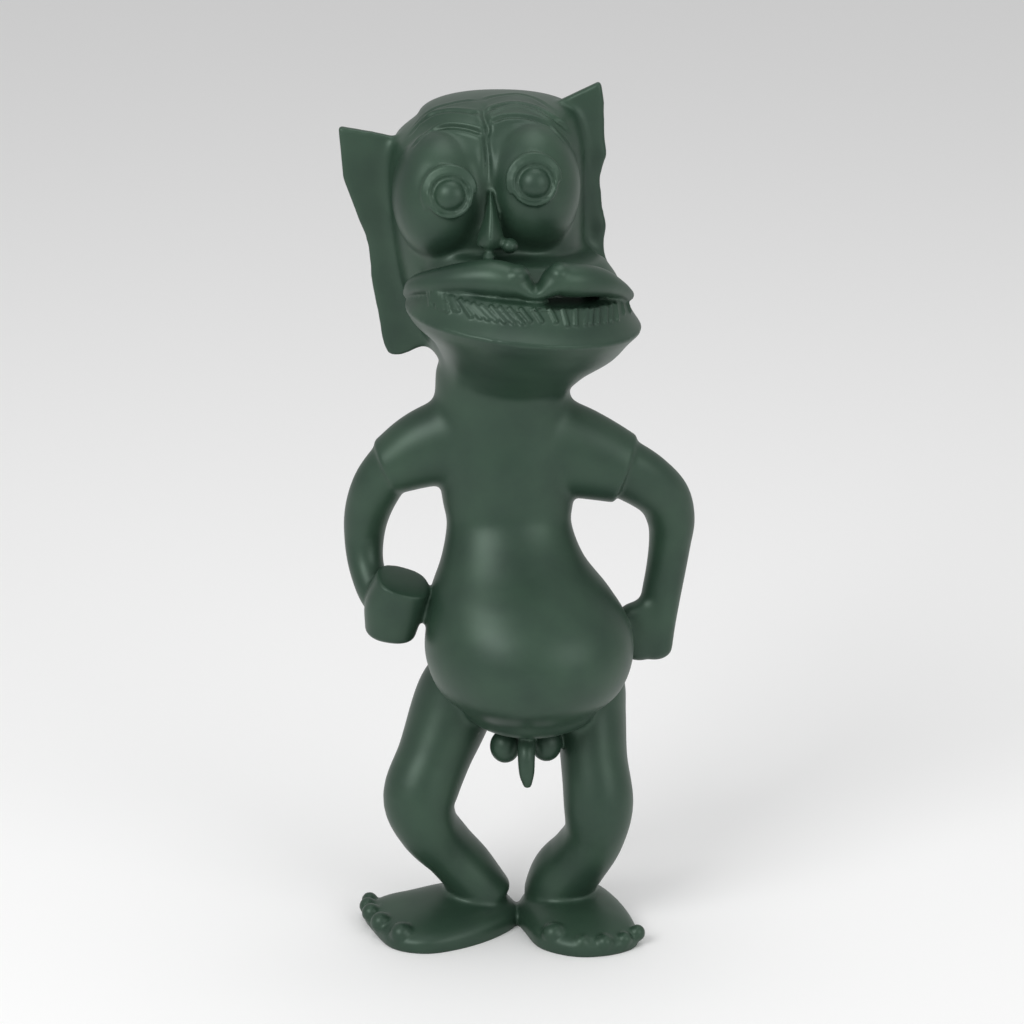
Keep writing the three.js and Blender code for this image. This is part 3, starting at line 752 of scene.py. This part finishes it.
class Figure:
    """The whole casting."""

    def __init__(self) -> None:
        self.sight = Sight()
        self.body = Body()
        self.feet = Feet()
        self.arms = Arms()
        self.head = Head()

    def build(self) -> bpy.types.Object:
        """Shapes the casting.

        Returns:
            The finished object, in metres on the CAD frame.
        """
        coarse, fine = ((0.9, 0.45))
        clay = Clay("figure_casting", self.sight)
        clay.add([*self.body.core(), *self.feet.core(), *self.arms.core(), *self.head.core()])
        clay.fuse(coarse)
        LOG.info("core: %d vertices", len(clay.obj.data.vertices))
        self.blend(clay, coarse)
        clay.add([*self.body.details(), *self.feet.details(), *self.arms.details(), *self.head.details()])
        clay.fuse(coarse * 0.75)
        clay.smooth(np.ones(len(clay.obj.data.vertices)), 6, swell=0.95)
        clay.add(self.head.teeth(clay))
        clay.fuse(fine)
        LOG.info("detail: %d vertices", len(clay.obj.data.vertices))
        everywhere = np.ones(len(clay.obj.data.vertices))
        clay.smooth(everywhere, 4, swell=0.9)
        self.carve(clay)
        self.stand(clay)
        LOG.info("cut: %d polygons", len(clay.obj.data.polygons))
        clay.modify("TRIANGULATE")
        limit = 196000
        share = min(1.0, limit / len(clay.obj.data.polygons))
        clay.modify("DECIMATE", decimate_type="COLLAPSE", ratio=share)
        LOG.info("casting: %d triangles", len(clay.obj.data.polygons))
        for polygon in clay.obj.data.polygons:
            polygon.use_smooth = True
        clay.obj.data.transform(Matrix.Scale(MM, 4) @ Matrix.Translation(BOX_SHIFT))
        return clay.obj

    def blend(self, clay: Clay, voxel: float) -> None:
        """Softens the joints between the large forms, as a thumb does in wax."""
        places = clay.co
        joints = (
            ((-24, 0, 178), 20, 1.0), ((20, 0, 176), 20, 1.0), ((-5, 4, 198), 36, 1.0), ((-20, 8, 92), 20, 0.9),
            ((26, 8, 92), 20, 0.9), ((5, -14, 80), 26, 0.9), ((-9, -22, 268), 18, 0.8), ((-12, -2, 12), 15, 0.5), ((16, -2, 12), 15, 0.5), ((3, 14, 84), 26, 1.0),
            ((-40, 3, 245), 16, 0.8), ((-38, 3, 270), 16, 0.8), ((-34, 4, 222), 14, 0.8), ((24, 6, 262), 16, 0.8),
            ((26, 6, 240), 14, 0.8), ((24, 6, 284), 12, 0.8), ((-24, -22, 265), 26, 0.5), ((5, -22, 268), 26, 0.5),
            ((44, 4, 110), 12, 0.7))
        weight = np.zeros(len(places))
        for centre, radius, strength in joints:
            gap = np.linalg.norm(places - np.array(centre), axis=1)
            weight = np.maximum(weight, strength * fade(gap, radius * 0.5, radius))
        rounds = int(40 / (voxel * voxel))
        lip = fade(-places[:, 2], -218, -214) * fade(places[:, 1], -30, -20)
        clay.smooth(weight * (1 - lip), min(rounds, 80))
        clay.smooth(np.full(len(places), 1.0), 6, swell=0.95)

    def carve(self, clay: Clay) -> None:
        """Presses the drawn lines into the surface and opens the mouth."""
        tree = clay.tree()
        for mark in FOREHEAD:
            clay.groove(clay.trace(tree, mark.pixels), mark.deep, mark.wide, mark.shoulder, mark.taper)
        cutter = Clay("mouth_cutter", self.sight)
        cutter.add([Loft(self.head.slit, 1.5, 1.5, across=(0, 0, 1), sides=24, rows=60)])
        clay.cut(cutter)

    def stand(self, clay: Clay) -> None:
        """Cuts everything below the floor away, which leaves the flat soles."""
        block = Clay("floor_cutter", self.sight)
        bm = bmesh.new()
        bmesh.ops.create_cube(bm, size=400.0, matrix=Matrix.Translation((0, 0, -200.0)))
        bm.to_mesh(block.obj.data)
        bm.free()
        clay.cut(block)


def srgb(code: str) -> Tuple[float, float, float, float]:
    """Turns an sRGB hex colour into linear values."""
    parts = [int(code[i:i + 2], 16) / 255 for i in (1, 3, 5)]
    linear = [p / 12.92 if p <= 0.04045 else ((p + 0.055) / 1.055) ** 2.4 for p in parts]
    return (*linear, 1.0)


def node(tree: bpy.types.NodeTree, kind: str, settings: Optional[Dict[str, object]] = None,
         links: Optional[Dict[str, object]] = None) -> bpy.types.Node:
    """Adds a node.

    Args:
        tree: The node tree.
        kind: The node's type.
        settings: Values of its sockets, or of its own fields where no socket has the name.
        links: The sockets that feed its sockets.

    Returns:
        The new node.
    """
    made = tree.nodes.new(kind)
    for key, value in (settings or {}).items():
        if key in made.inputs:
            made.inputs[key].default_value = value
        else:
            setattr(made, key, value)
    for key, source in (links or {}).items():
        tree.links.new(source, made.inputs[key])
    return made


@dataclass(frozen=True)
class Patina:
    """Cast bronze under a thin dark green patina, rubbed by hands to a satin gloss."""

    deep: str = "#1d3229"
    green: str = "#37513f"
    roughness: float = 0.42

    def material(self) -> bpy.types.Material:
        """Builds the material."""
        made = bpy.data.materials.new("cast_bronze_green_patina")
        made.use_nodes = True
        tree = made.node_tree
        shader = tree.nodes["Principled BSDF"]
        place = node(tree, "ShaderNodeTexCoord").outputs["Object"]
        cloud = node(tree, "ShaderNodeTexNoise", {"Scale": 60.0, "Detail": 6.0}, {"Vector": place})
        tint = node(tree, "ShaderNodeMix", {"data_type": "RGBA"}, {0: cloud.outputs["Fac"]})
        tint.inputs[6].default_value = srgb(self.deep)
        tint.inputs[7].default_value = srgb(self.green)
        tree.links.new(tint.outputs[2], shader.inputs["Base Color"])
        shader.inputs["Roughness"].default_value = self.roughness
        shader.inputs["Metallic"].default_value = 0.3
        return made


class Studio:
    """The pale floor, the soft lights and the white surroundings."""

    def build(self) -> None:
        """Makes the floor, the lights and the world."""
        mesh = bpy.data.meshes.new("floor")
        bm = bmesh.new()
        bmesh.ops.create_grid(bm, x_segments=1, y_segments=1, size=6.0)
        bm.to_mesh(mesh)
        bm.free()
        floor = bpy.data.objects.new("floor", mesh)
        bpy.context.collection.objects.link(floor)
        paint = bpy.data.materials.new("matt_white_board")
        paint.use_nodes = True
        paint.node_tree.nodes["Principled BSDF"].inputs["Base Color"].default_value = (0.9, 0.9, 0.9, 1)
        paint.node_tree.nodes["Principled BSDF"].inputs["Roughness"].default_value = 0.9
        mesh.materials.append(paint)
        self.light("key_softbox", (-0.75, -0.9, 1.0), 0.7, 9.0)
        self.light("fill_softbox", (0.9, -0.9, 0.7), 0.8, 4.0)
        self.light("top_softbox", (0.1, 0.1, 1.5), 0.9, 4.0)
        world = bpy.data.worlds.new("white_room")
        world.use_nodes = True
        world.node_tree.nodes["Background"].inputs["Color"].default_value = (1, 1, 1, 1)
        world.node_tree.nodes["Background"].inputs["Strength"].default_value = 0.6
        bpy.context.scene.world = world
        bpy.context.scene.view_settings.view_transform = "Standard"

    def light(self, name: str, place: Triple, size: float, power: float) -> None:
        """Adds a square softbox that looks at the figure."""
        data = bpy.data.lights.new(name, "AREA")
        data.shape = "SQUARE"
        data.size = size
        data.energy = power
        lamp = bpy.data.objects.new(name, data)
        bpy.context.collection.objects.link(lamp)
        lamp.location = place
        lamp.rotation_mode = "QUATERNION"
        lamp.rotation_quaternion = (Vector((0, 0, 0.15)) - Vector(place)).to_track_quat("-Z", "Y")


def main() -> None:
    """Builds the figure, the studio and the camera."""
    figure = Figure()
    casting = figure.build()
    casting.data.materials.clear()
    casting.data.materials.append(Patina().material())
    casting.data.polygons.foreach_set("material_index", [0] * len(casting.data.polygons))
    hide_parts("cast_figure")
    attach(casting, "root")
    LOG.info("piece %s rides on root", casting.name)
    Studio().build()
    figure.sight.camera()


if __name__ == "__main__":
    main()
